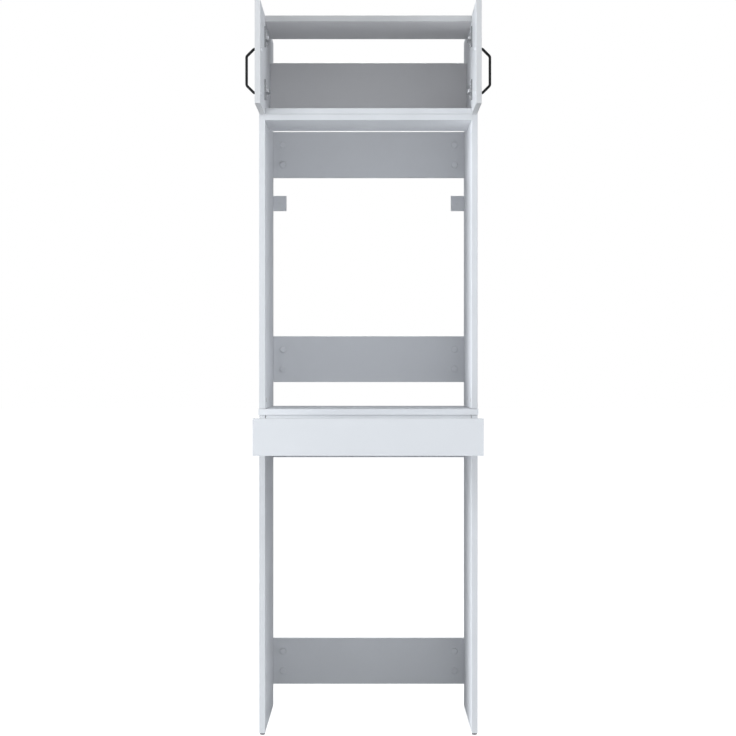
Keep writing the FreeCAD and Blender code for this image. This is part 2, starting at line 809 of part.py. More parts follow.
os.makedirs("parts", exist_ok=True)
for piece in pieces:
    piece.Shape.exportStep(os.path.join("parts", f"{piece.Label}.step"))
    print(f"{piece.Label}: {len(piece.Shape.Solids)} solids, {piece.Shape.Volume / 1000:.1f} cm3")
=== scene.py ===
import json
import math

import bmesh
import bpy
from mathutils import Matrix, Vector


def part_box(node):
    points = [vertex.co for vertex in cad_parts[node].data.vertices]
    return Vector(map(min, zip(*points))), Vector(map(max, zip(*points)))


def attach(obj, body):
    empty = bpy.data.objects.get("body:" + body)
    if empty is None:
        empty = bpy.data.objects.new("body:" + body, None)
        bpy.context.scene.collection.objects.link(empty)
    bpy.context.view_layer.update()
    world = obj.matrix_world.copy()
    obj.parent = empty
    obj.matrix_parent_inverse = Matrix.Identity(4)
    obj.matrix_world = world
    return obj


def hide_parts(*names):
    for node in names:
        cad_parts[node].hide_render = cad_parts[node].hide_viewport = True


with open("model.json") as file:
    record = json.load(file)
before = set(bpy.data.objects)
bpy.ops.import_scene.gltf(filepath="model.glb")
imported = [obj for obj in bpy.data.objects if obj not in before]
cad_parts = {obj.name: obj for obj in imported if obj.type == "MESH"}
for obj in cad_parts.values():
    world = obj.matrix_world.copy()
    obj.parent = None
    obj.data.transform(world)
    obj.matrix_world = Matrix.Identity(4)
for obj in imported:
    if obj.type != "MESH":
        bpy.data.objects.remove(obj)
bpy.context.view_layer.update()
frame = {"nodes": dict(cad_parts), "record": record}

# Tall white cabinet over a washing machine bay. Metres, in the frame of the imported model: +Z is up and
# the front faces -Y. The boards get soft banded edges, and the fittings their turned and pressed shapes.

# Boards and pressed steel
EDGE_ROUND = 0.0009
STEEL_ROUND = 0.0003
ROUND_STEPS = 3
SHARP_ANGLE = math.radians(40)
FLAT_ANGLE = math.radians(0.5)
TOUCH = 1e-5
WELD = 1e-6

# A board's materials, by their places in its mesh. The normal of a broad face has at least this share along
# the thickness.
FACE, BAND, CORE = range(3)
BROAD_SHARE = 0.9

# Joints that show as a fine dark line: for each board the axis, the end of its box and the gap
JOINT_LINES = {
    "left_lower_side": ((2, 1, 0.0006),),
    "right_lower_side": ((2, 1, 0.0006),),
    "left_upper_side": ((2, 0, 0.0008),),
    "right_upper_side": ((2, 0, 0.0008),),
    "cabinet_floor": ((2, 0, 0.0003),),
    "front_rail": ((0, 0, 0.0014), (0, 1, 0.0014)),
}

# Turned shapes
CROWN_RINGS = 9
BUTTON_SIZES = {"Radius": "Float", "Height": "Float", "Squareness": "Float", "Segments": "Int"}
RECESS_SIZES = {"Recess length": "Float", "Recess width": "Float", "Recess depth": "Float"}

# Hinges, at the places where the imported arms, plates and cups are
HINGE_HEIGHTS = (1.947, 2.106)
FLANGE_LINE = -0.150488
PLATE_LINE = -0.072
FLANGE_FACE = 0.309
PLATE_FACE = 0.308
ARM_FACE = 0.300
FLANGE_SCREW_RISE = 0.0225
WING_SCREW_RISE = 0.0165
ARM_SCREW_LINES = (-0.061, -0.079)
HINGE_SCREW = {
    "Radius": 0.0034,
    "Height": 0.0013,
    "Squareness": 0.45,
    "Segments": 24,
    "Recess length": 0.0040,
    "Recess width": 0.0009,
    "Recess depth": 0.0009,
}

# Cover caps, in pairs at both ends of each back rail
CAP_SIDE = 0.280
CAP_SEAT = 0.518
CAP_PITCH = 0.064
RAIL_MIDDLES = (0.152, 0.893, 1.139, 1.807)
COVER_CAP = {"Radius": 0.0106, "Height": 0.006, "Squareness": 0.7, "Segments": 36}

# Caps over the wall screws, on the cleats
CLEAT_SIDE = 0.2905
CLEAT_HEIGHT = 1.6485
CLEAT_CAP = {"Radius": 0.006, "Height": 0.0008, "Squareness": 0.62, "Segments": 28}

# Cams that stand open in the upper sides
CAM_SEAT = 0.313
CAM_LINES = (-0.014, 0.241)
CAM_HEIGHT = 1.013
CAM_FACE = {
    "Radius": 0.0072,
    "Height": 0.0008,
    "Squareness": 0.8,
    "Segments": 36,
    "Recess length": 0.0085,
    "Recess width": 0.0018,
    "Recess depth": 0.0006,
}

# Glides under the lower sides
GLIDE_SIDE = 0.321
GLIDE_LINES = (-0.094, 0.516)
GLIDE_HEIGHT = 0.006
GLIDE = {"Radius": 0.008, "Height": GLIDE_HEIGHT, "Squareness": 0.7, "Segments": 36}

# Bow handles: the middle line of the bar, as distance from the door and height from the handle's middle
DOOR_FACE = 0.328
DOOR_INSIDE = 0.312
HANDLE_LINE = -0.403988
HANDLE_MIDDLE = 1.973
HANDLE_BOW = ((0.0, 0.064), (0.00355, 0.064), (0.0255, 0.04205))
HANDLE_BAR = {"Thickness": 0.0074, "Width": 0.010, "Bend": 0.0095, "Edge round": 0.0011}
BEND_STEPS = 10
SCREW_CAP = {"Radius": 0.0056, "Height": 0.0033, "Squareness": 0.6, "Segments": 32}

# Lines per metre along X, Y and Z in the finishes that are drawn, rolled, cast or grown
HINGE_LINES = (400.0, 2600.0, 400.0)
SLIDE_LINES = (2200.0, 30.0, 2200.0)
CAST_GRAIN = (900.0, 900.0, 900.0)
DOWEL_GRAIN = (60.0, 1200.0, 1200.0)

# Places of the colours on a Mix node
MIX_FIRST, MIX_SECOND, MIX_RESULT = 6, 7, 2

# Camera
CAMERA_PLACE = (0.0104, -7.761, 1.110)
CAMERA_LENS = 123.83
CAMERA_SENSOR = 36
CAMERA_SHIFT = -0.0052
CAMERA_REACH = 100

# Softboxes: azimuth, distance, height, size and watts
SOFTBOXES = {
    "key": (-65, 6.0, 0.9, 4.0, 420),
    "strip": (-75, 2.0, 1.2, 1.2, 13),
    "face": (-30, 6.0, 0.9, 4.0, 222),
    "front": (0, 3.0, 2.5, 3.0, 15.5),
    "fill": (60, 3.0, 2.5, 3.0, 42),
    "back": (180, 8.0, 5.5, 1.0, 225),
    "low": (180, 8.0, 0.5, 1.0, 130),
}
# The left outer faces stand square to the key and the strip, and would burn out. These two boxes are kept off
# the pieces named here, and the face box, nearer the front, lights these alone.
FACE_PIECES = (
    "left_lower_side_board",
    "left_upper_side_board",
    "left_door_board",
    "left_drawer_side_board",
    "drawer_front_board",
    "worktop_board",
    "cabinet_floor_board",
    "niche_top_board",
)
# The back box lights the boards whose backs are seen. The worktop has a low box of its own there, because
# light from above would glare on its face.
BACK_PIECES = (
    "bottom_rail_board",
    "drawer_rail_board",
    "splash_rail_board",
    "upper_rail_board",
    "cabinet_back_board",
    "left_wall_cleat_board",
    "right_wall_cleat_board",
    "top_panel_board",
    "cabinet_floor_board",
    "niche_top_board",
    "left_lower_side_board",
    "right_lower_side_board",
    "left_upper_side_board",
    "right_upper_side_board",
)
LIT_PIECES = {
    "key": ("EXCLUDE", FACE_PIECES),
    "strip": ("EXCLUDE", (*FACE_PIECES, "right_door_board", "right_screw_caps")),
    "face": ("INCLUDE", FACE_PIECES),
    "back": ("INCLUDE", BACK_PIECES),
    "low": ("INCLUDE", ("worktop_board",)),
}
LIGHT_TINT = (0.957, 1.0, 1.037)
LIGHT_AIM = (0, -0.1, 1.1)
ROOM_LIGHT = 0.292

# Studio floor: its grey, and the glow that turns it white for the camera
FLOOR_HALF = 60
FLOOR_GREY = 0.74
FLOOR_GLOW = 0.88

body_of = {node: body for body, nodes in frame["record"]["behaviour"]["bodies"].items() for node in nodes}
slot_of = {part["node"]: part["material_slot"] for part in frame["record"]["subparts"]}


def add_node(tree, kind, inputs=None, **settings):
    """Adds a node, and gives each named input a value or a link from another node's output."""
    node = tree.nodes.new(kind)
    for name, value in settings.items():
        setattr(node, name, value)
    for name, value in (inputs or {}).items():
        if isinstance(value, bpy.types.NodeSocket):
            tree.links.new(value, node.inputs[name])
        else:
            node.inputs[name].default_value = value
    return node


def maths(tree, operation, first, second=0.0):
    return add_node(tree, "ShaderNodeMath", {0: first, 1: second}, operation=operation).outputs["Value"]


def new_group(name, kind, inputs, outputs):
    """A node group with named sockets, and the sockets of its input and output nodes."""
    tree = bpy.data.node_groups.new(name, kind)
    for way, sockets in (("INPUT", inputs), ("OUTPUT", outputs)):
        for socket, socket_kind in sockets.items():
            tree.interface.new_socket(socket, in_out=way, socket_type=f"NodeSocket{socket_kind}")
    return tree, tree.nodes.new("NodeGroupInput").outputs, tree.nodes.new("NodeGroupOutput").inputs


def use_group(tree, group, inputs):
    kind = "ShaderNodeGroup" if group.bl_idname == "ShaderNodeTree" else "GeometryNodeGroup"
    return add_node(tree, kind, inputs, node_tree=group).outputs


def fine_texture_group():
    """Fine even relief of a pressed or moulded surface."""
    tree, given, result = new_group(
        "fine_texture", "ShaderNodeTree", {"Grains per metre": "Float"}, {"Height": "Float"}
    )
    place = add_node(tree, "ShaderNodeTexCoord").outputs["Object"]
    grain = {"Vector": place, "Scale": given["Grains per metre"], "Detail": 2.0, "Roughness": 0.6}
    noise = add_node(tree, "ShaderNodeTexNoise", grain)
    tree.links.new(noise.outputs["Fac"], result["Height"])
    return tree


def handling_group():
    """Broad soft patches where a surface has been wiped and touched."""
    tree, given, result = new_group(
        "handling", "ShaderNodeTree", {"Patches per metre": "Float"}, {"Mask": "Float"}
    )
    place = add_node(tree, "ShaderNodeTexCoord").outputs["Object"]
    patches = {
        "Vector": place,
        "Scale": given["Patches per metre"],
        "Detail": 4.0,
        "Roughness": 0.55,
        "Distortion": 0.4,
    }
    noise = add_node(tree, "ShaderNodeTexNoise", patches)
    spread = {"Value": noise.outputs["Fac"], "From Min": 0.3, "From Max": 0.7}
    tree.links.new(add_node(tree, "ShaderNodeMapRange", spread).outputs["Result"], result["Mask"])
    return tree


def drawn_lines_group():
    """Fine lines along one direction, as rolling leaves them in metal and growth leaves them in wood."""
    tree, given, result = new_group(
        "drawn_lines", "ShaderNodeTree", {"Lines per metre": "Vector"}, {"Mask": "Float", "Height": "Float"}
    )
    place = add_node(tree, "ShaderNodeTexCoord").outputs["Object"]
    scaled = add_node(
        tree, "ShaderNodeVectorMath", {0: place, 1: given["Lines per metre"]}, operation="MULTIPLY"
    )
    lines = {"Vector": scaled.outputs["Vector"], "Scale": 1.0, "Detail": 5.0, "Roughness": 0.65}
    noise = add_node(tree, "ShaderNodeTexNoise", lines)
    spread = {"Value": noise.outputs["Fac"], "From Min": 0.32, "From Max": 0.68}
    tree.links.new(add_node(tree, "ShaderNodeMapRange", spread).outputs["Result"], result["Mask"])
    tree.links.new(noise.outputs["Fac"], result["Height"])
    return tree


fine_texture = fine_texture_group()
handling = handling_group()
drawn_lines = drawn_lines_group()


def new_material(name, sockets):
    """A material with even values set on its shader's own sockets."""
    material = bpy.data.materials.new(name)
    material.use_nodes = True
    shader = material.node_tree.nodes["Principled BSDF"]
    for socket, value in sockets.items():
        shader.inputs[socket].default_value = value
    return material, material.node_tree, shader


def vary_colour(tree, shader, mask, first, second):
    colours = {"Factor": mask, MIX_FIRST: (*first, 1), MIX_SECOND: (*second, 1)}
    mix = add_node(tree, "ShaderNodeMix", colours, data_type="RGBA")
    tree.links.new(mix.outputs[MIX_RESULT], shader.inputs["Base Color"])


def vary_roughness(tree, shader, mask, low, high):
    spread = add_node(tree, "ShaderNodeMapRange", {"Value": mask, "To Min": low, "To Max": high})
    tree.links.new(spread.outputs["Result"], shader.inputs["Roughness"])


def add_relief(tree, shader, height, depth, strength):
    bump = add_node(tree, "ShaderNodeBump", {"Height": height, "Distance": depth, "Strength": strength})
    tree.links.new(bump.outputs["Normal"], shader.inputs["Normal"])


def handled_surface(name, first, second, specular, patches, gloss, grains, depth, strength):
    """A smooth surface with patches of handling in its colour and gloss, and a fine even relief."""
    material, tree, shader = new_material(name, {"Specular IOR Level": specular})
    mask = use_group(tree, handling, {"Patches per metre": patches})["Mask"]
    vary_colour(tree, shader, mask, first, second)
    vary_roughness(tree, shader, mask, *gloss)
    relief = use_group(tree, fine_texture, {"Grains per metre": grains})["Height"]
    add_relief(tree, shader, relief, depth, strength)
    return material


def white_melamine(name, first, second):
    """Pearled face of a board."""
    return handled_surface(
        name,
        first,
        second,
        specular=0.45,
        patches=3.1,
        gloss=(0.40, 0.52),
        grains=1500.0,
        depth=0.00008,
        strength=0.35,
    )


def edge_band(name, first, second):
    """Glossier strip that closes the boards' cut edges."""
    return handled_surface(
        name,
        first,
        second,
        specular=0.5,
        patches=9.0,
        gloss=(0.30, 0.42),
        grains=700.0,
        depth=0.00006,
        strength=0.3,
    )


def satin_black():
    """Powder coat of the handles."""
    return handled_surface(
        "satin_black",
        (0.0105, 0.0108, 0.0112),
        (0.017, 0.0172, 0.018),
        specular=0.2,
        patches=38.0,
        gloss=(0.36, 0.52),
        grains=1900.0,
        depth=0.00012,
        strength=0.4,
    )


def moulded_plastic(name, first, second, gloss):
    return handled_surface(
        name,
        first,
        second,
        specular=0.5,
        patches=45.0,
        gloss=gloss,
        grains=2600.0,
        depth=0.00006,
        strength=0.3,
    )


def particle_core():
    """Pressed wood chips, seen only inside the drilled holes."""
    material, tree, shader = new_material("particle_core", {"Roughness": 0.9})
    place = add_node(tree, "ShaderNodeTexCoord").outputs["Object"]
    chips = add_node(tree, "ShaderNodeTexVoronoi", {"Vector": place, "Scale": 420.0, "Randomness": 1.0})
    shade = add_node(tree, "ShaderNodeSeparateColor", {"Color": chips.outputs["Color"]}).outputs["Red"]
    vary_colour(tree, shader, shade, (0.30, 0.19, 0.095), (0.62, 0.46, 0.28))
    add_relief(tree, shader, chips.outputs["Distance"], depth=0.0006, strength=0.8)
    return material


def plated_steel(name, first, second, gloss, lines_per_metre):
    """Plated sheet steel with the lines of its rolling or drawing."""
    material, tree, shader = new_material(name, {"Metallic": 1.0})
    lines = use_group(tree, drawn_lines, {"Lines per metre": lines_per_metre})
    vary_colour(tree, shader, lines["Mask"], first, second)
    wiped = use_group(tree, handling, {"Patches per metre": 60.0})["Mask"]
    vary_roughness(tree, shader, wiped, *gloss)
    add_relief(tree, shader, lines["Height"], depth=0.00005, strength=0.25)
    return material


def beech():
    """Turned dowel wood, with its grain along X."""
    material, tree, shader = new_material("beech", {"Roughness": 0.6})
    grain = use_group(tree, drawn_lines, {"Lines per metre": DOWEL_GRAIN})
    vary_colour(tree, shader, grain["Mask"], (0.50, 0.33, 0.18), (0.68, 0.50, 0.31))
    add_relief(tree, shader, grain["Height"], depth=0.0002, strength=0.4)
    return material


melamine = white_melamine("white_melamine", (0.810, 0.815, 0.835), (0.834, 0.839, 0.859))
# The drawer front's grey is painted shade for the weaker light on faces turned to the front.
front_shade_melamine = white_melamine("front_shade_melamine", (0.728, 0.732, 0.750), (0.752, 0.757, 0.775))
warm_melamine = white_melamine("warm_melamine", (0.840, 0.827, 0.832), (0.864, 0.851, 0.856))
band = edge_band("edge_band", (0.722, 0.726, 0.742), (0.750, 0.755, 0.771))
# Darker band of the doors and the top panel: painted shade for the light falling off upwards and the doors'
# shade.
painted_shade_band = edge_band("painted_shade_band", (0.666, 0.660, 0.664), (0.694, 0.688, 0.692))
core = particle_core()
nickel = plated_steel("nickel_plate", (0.50, 0.50, 0.51), (0.62, 0.62, 0.63), (0.24, 0.36), HINGE_LINES)
# The hinge cups are darker than the plates: painted shade on the flange strip beside the door's hinge edge.
shade_cup_steel = plated_steel("shade_darkened_cup", (0.28, 0.28, 0.29), (0.38, 0.38, 0.39), (0.28, 0.40), HINGE_LINES)
slide_zinc = plated_steel("zinc_slide", (0.50, 0.51, 0.53), (0.60, 0.61, 0.63), (0.30, 0.44), SLIDE_LINES)
cast_zinc = plated_steel("cast_zinc", (0.42, 0.42, 0.42), (0.56, 0.56, 0.55), (0.36, 0.52), CAST_GRAIN)
cap_white = moulded_plastic("white_cap", (0.806, 0.811, 0.83), (0.834, 0.839, 0.858), (0.34, 0.46))
glide_dark = moulded_plastic("dark_glide", (0.020, 0.020, 0.021), (0.034, 0.034, 0.035), (0.42, 0.58))
finishes = {
    "black_metal": satin_black(),
    "hinge_steel": nickel,
    "slide_steel": slide_zinc,
    "fitting_zinc": cast_zinc,
    "cap_plastic": cap_white,
    "glide_plastic": glide_dark,
    "dowel_wood": beech(),
}

# The top and the back of the door compartment are a shade warmer. The drawer front is as grey as the bands,
# as painted shade for the weaker light on faces turned to the front, and the bands of the doors and the top
# panel are darker still, as painted shade for the light falling off upwards and the open doors shading the
# top edge.
# The worktop's face goes round its edges.
face_of = {"cabinet_back": warm_melamine, "top_panel": warm_melamine, "drawer_front": front_shade_melamine}
band_of = {"worktop": melamine, "left_door": painted_shade_band, "right_door": painted_shade_band, "top_panel": painted_shade_band}


def finish_piece(name, mesh, body, slot, *nodes):
    """Puts a finished mesh in the scene, on its body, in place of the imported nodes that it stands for."""
    piece = bpy.data.objects.new(name, mesh)
    bpy.context.scene.collection.objects.link(piece)
    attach(piece, body)
    if nodes:
        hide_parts(*nodes)


def merged_copy(node):
    """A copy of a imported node's mesh, with its loose triangles merged into whole faces."""
    shape = bmesh.new()
    shape.from_mesh(frame["nodes"][node].data)
    bmesh.ops.remove_doubles(shape, verts=shape.verts, dist=TOUCH)
    bmesh.ops.dissolve_limit(shape, angle_limit=FLAT_ANGLE, verts=shape.verts, edges=shape.edges)
    return shape


def round_edges(shape, edges, radius, clamped):
    bmesh.ops.bevel(
        shape,
        geom=edges,
        offset=radius,
        offset_type="OFFSET",
        segments=ROUND_STEPS,
        profile=0.5,
        affect="EDGES",
        clamp_overlap=clamped,
    )
    bmesh.ops.triangulate(shape, faces=shape.faces)


def plain_mesh(name, shape, *materials):
    mesh = bpy.data.meshes.new(name)
    shape.to_mesh(mesh)
    shape.free()
    for material in materials:
        mesh.materials.append(material)
    return mesh


def draw_back(shape, corner, axis, step):
    """Moves one end of a board, and that end of its box, by a hair."""
    for vert in shape.verts:
        if abs(vert.co[axis] - corner[axis]) < TOUCH:
            vert.co[axis] += step
    corner[axis] += step


def box_edges(shape, low, high):
    """The edges of a board that lie along the edges of its box."""

    def sides(vert):
        ends = {(axis, 0) for axis in range(3) if abs(vert.co[axis] - low[axis]) < TOUCH}
        return ends | {(axis, 1) for axis in range(3) if abs(vert.co[axis] - high[axis]) < TOUCH}

    return [edge for edge in shape.edges if len(sides(edge.verts[0]) & sides(edge.verts[1])) == 2]


def banded_board(node):
    """A packed board with rounded edges, a band on its narrow sides and bare core in its holes."""
    low, high = (list(corner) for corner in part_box(node))
    shape = merged_copy(node)
    for axis, end, gap in JOINT_LINES.get(node, ()):
        draw_back(shape, (low, high)[end], axis, -gap if end else gap)
    round_edges(shape, box_edges(shape, low, high), EDGE_ROUND, clamped=False)
    thickness = min(range(3), key=lambda axis: high[axis] - low[axis])
    for face in shape.faces:
        middle = face.calc_center_median()
        inset = min(min(middle[axis] - low[axis], high[axis] - middle[axis]) for axis in range(3))
        if inset > EDGE_ROUND:
            face.material_index = CORE
        elif abs(face.normal[thickness]) < BROAD_SHARE:
            face.material_index = BAND
        else:
            face.material_index = FACE
    name = f"{node}_board"
    mesh = plain_mesh(name, shape, face_of.get(node, melamine), band_of.get(node, band), core)
    finish_piece(name, mesh, body_of[node], slot_of[node], node)


def softened(node):
    """A packed steel piece with its sharp edges softened, as pressing and plating leave them."""
    shape = merged_copy(node)
    sharp = [edge for edge in shape.edges if edge.calc_face_angle() > SHARP_ANGLE]
    round_edges(shape, sharp, STEEL_ROUND, clamped=True)
    for face in shape.faces:
        face.smooth = True
    name = f"{node}_soft"
    mesh = plain_mesh(name, shape, shade_cup_steel if node.endswith("hinge_cups") else finishes[slot_of[node]])
    mesh.set_sharp_from_angle(angle=SHARP_ANGLE)
    finish_piece(name, mesh, body_of[node], slot_of[node], node)


def weld(tree, geometry):
    """Merges the doubled points of a shape."""
    merged = add_node(tree, "GeometryNodeMergeByDistance", {"Geometry": geometry, "Distance": WELD})
    return merged.outputs["Geometry"]


def coat(tree, geometry, material, result):
    """Ends a tree: one plain mesh, shaded smooth, of one material."""
    plain = add_node(tree, "GeometryNodeRealizeInstances", {"Geometry": geometry})
    smooth = add_node(tree, "GeometryNodeSetShadeSmooth", {"Geometry": plain.outputs["Geometry"]})
    coated = add_node(
        tree, "GeometryNodeSetMaterial", {"Geometry": smooth.outputs["Geometry"], "Material": material}
    )
    tree.links.new(coated.outputs["Geometry"], result["Geometry"])


def set_on_points(tree, points, shape, material, result):
    """Sets a shape on each point, turned to the point's facing."""
    facing = add_node(tree, "GeometryNodeInputNamedAttribute", {"Name": "facing"}, data_type="FLOAT_VECTOR")
    turned = add_node(
        tree, "FunctionNodeAlignRotationToVector", {"Vector": facing.outputs["Attribute"]}, axis="Z"
    )
    copies = add_node(
        tree,
        "GeometryNodeInstanceOnPoints",
        {"Points": points, "Instance": shape, "Rotation": turned.outputs["Rotation"]},
    )
    coat(tree, copies.outputs["Instances"], material, result)


def turned_button_tree():
    """A turned button: a flat crown that rolls over to an upright rim. Squareness 0 is a dome, 1 a disc."""
    tree, given, result = new_group(
        "turned_button", "GeometryNodeTree", BUTTON_SIZES, {"Geometry": "Geometry"}
    )
    radius = given["Radius"]
    around = maths(tree, "ADD", given["Segments"], 1)
    grid = add_node(
        tree,
        "GeometryNodeMeshGrid",
        {"Size X": 1.0, "Size Y": 1.0, "Vertices X": CROWN_RINGS, "Vertices Y": around},
    )
    place = add_node(tree, "GeometryNodeInputPosition").outputs["Position"]
    along = add_node(tree, "ShaderNodeSeparateXYZ", {"Vector": place}).outputs
    climb = maths(tree, "MULTIPLY", maths(tree, "ADD", along["X"], 0.5), math.pi / 2)
    turn = maths(tree, "MULTIPLY", maths(tree, "ADD", along["Y"], 0.5), 2 * math.pi)
    power = maths(tree, "SUBTRACT", 1.0, given["Squareness"])
    level = maths(tree, "MAXIMUM", maths(tree, "COSINE", climb), 0.0)
    reach = maths(tree, "MULTIPLY", radius, maths(tree, "POWER", level, power))
    upright = maths(tree, "POWER", maths(tree, "SINE", climb), power)
    spot = {
        "X": maths(tree, "MULTIPLY", reach, maths(tree, "COSINE", turn)),
        "Y": maths(tree, "MULTIPLY", reach, maths(tree, "SINE", turn)),
        "Z": maths(tree, "MULTIPLY", given["Height"], upright),
    }
    spun = add_node(tree, "ShaderNodeCombineXYZ", spot).outputs["Vector"]
    crown = add_node(tree, "GeometryNodeSetPosition", {"Geometry": grid.outputs["Mesh"], "Position": spun})
    base = add_node(
        tree, "GeometryNodeMeshCircle", {"Vertices": given["Segments"], "Radius": radius}, fill_type="NGON"
    )
    shell = add_node(tree, "GeometryNodeJoinGeometry")
    tree.links.new(crown.outputs["Geometry"], shell.inputs["Geometry"])
    tree.links.new(base.outputs["Mesh"], shell.inputs["Geometry"])
    closed = weld(tree, shell.outputs["Geometry"])
    outward = add_node(tree, "GeometryNodeFlipFaces", {"Mesh": closed})
    tree.links.new(outward.outputs["Mesh"], result["Geometry"])
    return tree


turned_button = turned_button_tree()


def buttons_tree():
    """Plain turned buttons."""
    tree, given, result = new_group(
        "buttons_on_points",
        "GeometryNodeTree",
        {"Geometry": "Geometry", **BUTTON_SIZES, "Material": "Material"},
        {"Geometry": "Geometry"},
    )
    button = use_group(tree, turned_button, {size: given[size] for size in BUTTON_SIZES})["Geometry"]
    set_on_points(tree, given["Geometry"], button, given["Material"], result)
    return tree


def cross_heads_tree():
    """Screw or cam heads with a cross recess."""
    tree, given, result = new_group(
        "cross_heads_on_points",
        "GeometryNodeTree",
        {"Geometry": "Geometry", **BUTTON_SIZES, **RECESS_SIZES, "Material": "Material"},
        {"Geometry": "Geometry"},
    )
    button = use_group(tree, turned_button, {size: given[size] for size in BUTTON_SIZES})["Geometry"]
    top = add_node(tree, "ShaderNodeCombineXYZ", {"Z": given["Height"]}).outputs["Vector"]
    blade_height = maths(tree, "MULTIPLY", given["Recess depth"], 2.0)
    cut = add_node(
        tree, "GeometryNodeMeshBoolean", {"Mesh 1": button}, operation="DIFFERENCE", solver="EXACT"
    )
    for x, y in (("Recess length", "Recess width"), ("Recess width", "Recess length")):
        size = add_node(tree, "ShaderNodeCombineXYZ", {"X": given[x], "Y": given[y], "Z": blade_height})
        blade = add_node(tree, "GeometryNodeMeshCube", {"Size": size.outputs["Vector"]})
        placed = add_node(
            tree, "GeometryNodeTransform", {"Geometry": blade.outputs["Mesh"], "Translation": top}
        )
        tree.links.new(placed.outputs["Geometry"], cut.inputs["Mesh 2"])
    head = weld(tree, cut.outputs["Mesh"])
    set_on_points(tree, given["Geometry"], head, given["Material"], result)
    return tree


def bent_bar_tree():
    """Flat bar with softened edges, bent along a path."""
    tree, given, result = new_group(
        "bent_bar",
        "GeometryNodeTree",
        {"Geometry": "Geometry", **{size: "Float" for size in HANDLE_BAR}, "Material": "Material"},
        {"Geometry": "Geometry"},
    )
    path = add_node(tree, "GeometryNodeMeshToCurve", {"Mesh": given["Geometry"]})
    bends = {
        "Curve": path.outputs["Curve"],
        "Count": BEND_STEPS,
        "Radius": given["Bend"],
        "Limit Radius": True,
    }
    bent = add_node(tree, "GeometryNodeFilletCurve", bends, mode="POLY")
    flat = {"Width": given["Width"], "Height": given["Thickness"]}
    section = add_node(tree, "GeometryNodeCurvePrimitiveQuadrilateral", flat)
    corners = {"Curve": section.outputs["Curve"], "Count": ROUND_STEPS, "Radius": given["Edge round"]}
    soft = add_node(tree, "GeometryNodeFilletCurve", corners, mode="POLY")
    swept = {"Curve": bent.outputs["Curve"], "Profile Curve": soft.outputs["Curve"], "Fill Caps": True}
    bar = add_node(tree, "GeometryNodeCurveToMesh", swept)
    coat(tree, weld(tree, bar.outputs["Mesh"]), given["Material"], result)
    return tree


buttons = buttons_tree()
cross_heads = cross_heads_tree()
bent_bar = bent_bar_tree()


def grow(name, tree, sizes, material, points, facing=None, joined=False):
    """Runs a tree on a set of points, or on a path through them, and returns the plain mesh."""
    seed = bpy.data.meshes.new(name)
    steps = [(index, index + 1) for index in range(len(points) - 1)] if joined else []
    seed.from_pydata(points, steps, [])
    if facing:
        ways = seed.attributes.new("facing", "FLOAT_VECTOR", "POINT")
        ways.data.foreach_set("vector", [part for way in facing for part in way])
    holder = bpy.data.objects.new(name, seed)
    bpy.context.scene.collection.objects.link(holder)
    modifier = holder.modifiers.new("shape", "NODES")
    modifier.node_group = tree
    values = {**sizes, "Material": material}
    for item in tree.interface.items_tree:
        if item.in_out == "INPUT" and item.name in values:
            modifier[item.identifier] = values[item.name]
    mesh = bpy.data.meshes.new_from_object(holder.evaluated_get(bpy.context.evaluated_depsgraph_get()))
    mesh.name = name
    mesh.set_sharp_from_angle(angle=SHARP_ANGLE)
    holder.modifiers.remove(modifier)
    bpy.data.objects.remove(holder)
    bpy.data.meshes.remove(seed)
    return mesh


def cover_caps():
    spots = [
        (side * CAP_SIDE, CAP_SEAT, middle + step * CAP_PITCH / 2)
        for middle in RAIL_MIDDLES
        for side in (-1, 1)
        for step in (-1, 1)
    ]
    mesh = grow("cover_caps", buttons, COVER_CAP, cap_white, spots, [(0, -1, 0)] * len(spots))
    finish_piece("cover_caps", mesh, "carcass", "cap_plastic", "cam_caps")


def cleat_caps():
    spots = [(side * CLEAT_SIDE, CAP_SEAT, CLEAT_HEIGHT) for side in (-1, 1)]
    mesh = grow("cleat_caps", buttons, CLEAT_CAP, cap_white, spots, [(0, -1, 0)] * len(spots))
    finish_piece("cleat_caps", mesh, "carcass", "cap_plastic")


def screw_caps(name, body, side):
    """Caps over the heads of the handle screws, on the inner face of a door."""
    rise = HANDLE_BOW[0][1]
    spots = [(side * DOOR_INSIDE, HANDLE_LINE, HANDLE_MIDDLE + step * rise) for step in (-1, 1)]
    mesh = grow(name, buttons, SCREW_CAP, cap_white, spots, [(-side, 0, 0)] * len(spots))
    finish_piece(name, mesh, body, "cap_plastic")


def floor_glides():
    spots = [(side * GLIDE_SIDE, y, GLIDE_HEIGHT) for side in (-1, 1) for y in GLIDE_LINES]
    mesh = grow("floor_glides", buttons, GLIDE, glide_dark, spots, [(0, 0, -1)] * len(spots))
    finish_piece("floor_glides", mesh, "carcass", "glide_plastic", "glides")


def cam_faces():
    """Faces of the cams in the upper sides, with the cross that turns them."""
    ends = [(side, y) for side in (-1, 1) for y in CAM_LINES]
    spots = [(side * CAM_SEAT, y, CAM_HEIGHT) for side, y in ends]
    facing = [(-side, 0, 0) for side, y in ends]
    mesh = grow("cam_faces", cross_heads, CAM_FACE, cast_zinc, spots, facing)
    finish_piece("cam_faces", mesh, "carcass", "fitting_zinc")


def screw_places(side, face, line, rise):
    """Side, face, line and height of the screws above and below each hinge of one side."""
    return [(side, face, line, z + step * rise) for z in HINGE_HEIGHTS for step in (-1, 1)]


